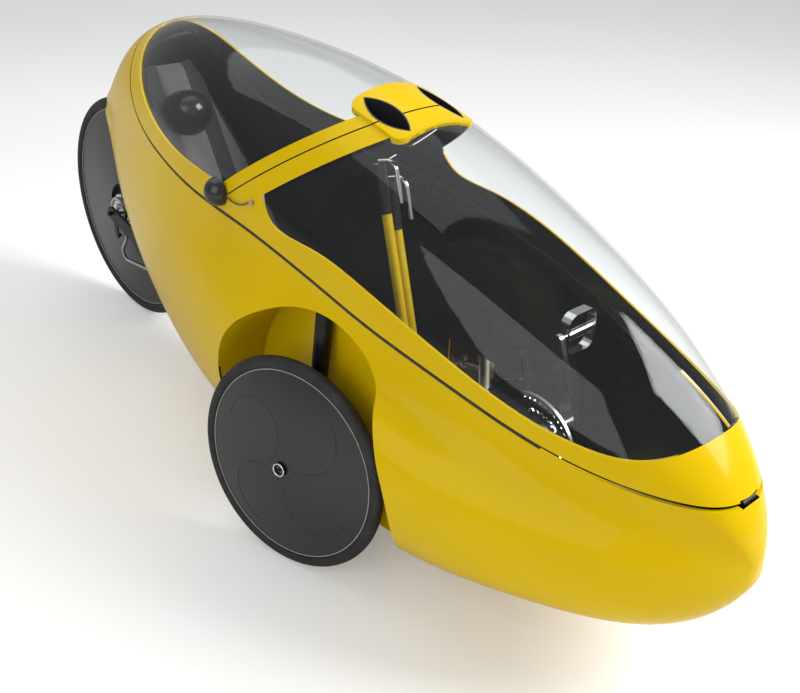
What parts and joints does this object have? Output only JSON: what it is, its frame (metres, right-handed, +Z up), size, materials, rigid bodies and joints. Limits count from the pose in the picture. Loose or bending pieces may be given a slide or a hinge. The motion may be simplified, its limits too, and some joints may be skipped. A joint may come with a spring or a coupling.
{
  "type": "velomobile",
  "caption": "Three-wheeled pedal car with a moulded yellow shell, a clear two-part canopy, steered front disc wheels and a chain-driven rear wheel.",
  "frame": {"origin": "on the ground, at the middle of the overall length, on the centre line", "axes": "+X forward to the nose, +Y to the rider's left, +Z up; parked with the front wheels turned a little left"},
  "size_m": [2.3989, 0.7968, 0.9723],
  "materials": {
    "yellow": "high-gloss lemon to golden yellow shell",
    "yellow_tube": "gloss yellow paint on steel tube",
    "clear": "clear polished",
    "gloss_black": "polished",
    "inner_black": "smooth satin",
    "disc_black": "satin black wheel cover",
    "black_alloy": "black anodised",
    "bare_aluminium": "brushed",
    "bright_alloy": "polished",
    "steel": "brushed",
    "bright_steel": "bright",
    "tyre": "slick black rubber",
    "rubber": "matt",
    "cord": "braided cord",
    "seat_laminate": "black laminate",
    "felt": "grey felt",
    "webbing": "black woven webbing"
  },
  "bodies": {
    "tub": {"body_tub": "yellow", "wheel_wells": "inner_black", "rear_wheel_housing": "inner_black", "nose_hinge": "black_alloy", "subframe": "bare_aluminium", "struts": "black_alloy", "lower_arms": "bare_aluminium", "chain": "steel", "chain_guides": "inner_black", "front_derailleur": "black_alloy", "rear_derailleur": "black_alloy", "swing_arm": "black_alloy", "swing_bracket": "black_alloy", "damper": "rubber", "seat_shell": "seat_laminate", "seat_pad": "felt", "harness_straps": "webbing"},
    "canopy": {"front_canopy_frame": "yellow", "rear_canopy_frame": "yellow", "front_canopy_window": "clear", "rear_canopy_window": "clear", "air_ducts": "gloss_black", "canopy_hinge_leaf": "black_alloy", "lift_knobs": "gloss_black", "lock_pins": "steel", "lanyards": "cord"},
    "steering": {"steering_column": "yellow_tube", "handgrips": "gloss_black", "brake_levers": "bright_steel"},
    "steer_knuckle_left": {"knuckle_left": "bare_aluminium"},
    "steer_knuckle_right": {"knuckle_right": "bare_aluminium"},
    "wheel_left": {"front_tyre_left": "tyre", "front_rim_left": "black_alloy", "front_cover_left": "disc_black", "front_hub_left": "black_alloy"},
    "wheel_right": {"front_tyre_right": "tyre", "front_rim_right": "black_alloy", "front_cover_right": "disc_black", "front_hub_right": "black_alloy"},
    "rod_left": {"tie_rod_left": "steel"},
    "rod_right": {"tie_rod_right": "steel"},
    "cranks": {"crankset": "bright_alloy"},
    "foot_left": {"pedal_left": "bright_alloy"},
    "foot_right": {"pedal_right": "bright_alloy"},
    "wheel_rear": {"rear_tyre": "tyre", "rear_rim": "black_alloy", "rear_cover": "disc_black", "rear_hub": "black_alloy", "rear_cluster": "bright_steel"}
  },
  "joints": [
    {"name": "canopy_tilt", "type": "hinge", "parent": "tub", "child": "canopy", "pos_m": [1.14972, 0, 0.46311], "axis": [0, 1, 0], "range_deg": [0, 55]},
    {"name": "steer_right", "type": "hinge", "parent": "tub", "child": "steer_knuckle_right", "pos_m": [0.325, -0.265, 0.22632], "axis": [0, 0.0976, 0.9952], "range_deg": [-32.3, 7.7]},
    {"name": "steer_left", "type": "hinge", "parent": "tub", "child": "steer_knuckle_left", "pos_m": [0.325, 0.265, 0.22632], "axis": [0, -0.0976, 0.9952], "range_deg": [-32.3, 7.7]},
    {"name": "steer_column", "type": "hinge", "parent": "tub", "child": "steering", "pos_m": [0.387, 0, 0.194], "axis": [-0.2689, 0, 0.9632], "range_deg": [-32.3, 7.7]},
    {"name": "rod_end_right", "type": "hinge", "parent": "steer_knuckle_right", "child": "rod_right", "pos_m": [0.26638, -0.27626, 0.2425], "axis": [0, 0.0976, 0.9952], "range_deg": [-7.7, 32.3]},
    {"name": "rod_end_left", "type": "hinge", "parent": "steer_knuckle_left", "child": "rod_left", "pos_m": [0.26638, 0.25082, 0.24], "axis": [0, -0.0976, 0.9952], "range_deg": [-7.7, 32.3]},
    {"name": "front_right_spin", "type": "hinge", "parent": "steer_knuckle_right", "child": "wheel_right", "pos_m": [0.33991, -0.33307, 0.233], "axis": [0.213, -0.9724, 0.0953], "continuous": true},
    {"name": "front_left_spin", "type": "hinge", "parent": "steer_knuckle_left", "child": "wheel_left", "pos_m": [0.31009, 0.33307, 0.233], "axis": [-0.213, 0.9724, 0.0953], "continuous": true},
    {"name": "rear_spin", "type": "hinge", "parent": "tub", "child": "wheel_rear", "pos_m": [-0.875, 0, 0.325], "axis": [0, 1, 0], "continuous": true},
    {"name": "crank_spin", "type": "hinge", "parent": "tub", "child": "cranks", "pos_m": [0.73, 0, 0.372], "axis": [0, 1, 0], "continuous": true},
    {"name": "pedal_left_spin", "type": "hinge", "parent": "cranks", "child": "foot_left", "pos_m": [0.67465, 0.13, 0.53274], "axis": [0, 1, 0], "continuous": true},
    {"name": "pedal_right_spin", "type": "hinge", "parent": "cranks", "child": "foot_right", "pos_m": [0.78535, -0.13, 0.21126], "axis": [0, 1, 0], "continuous": true}
  ],
  "couplings": [
    {"joint": "steer_left", "follows": "steer_right", "ratio": 1},
    {"joint": "steer_column", "follows": "steer_right", "ratio": 1},
    {"joint": "rod_end_right", "follows": "steer_right", "ratio": -1},
    {"joint": "rod_end_left", "follows": "steer_right", "ratio": -1}
  ]
}
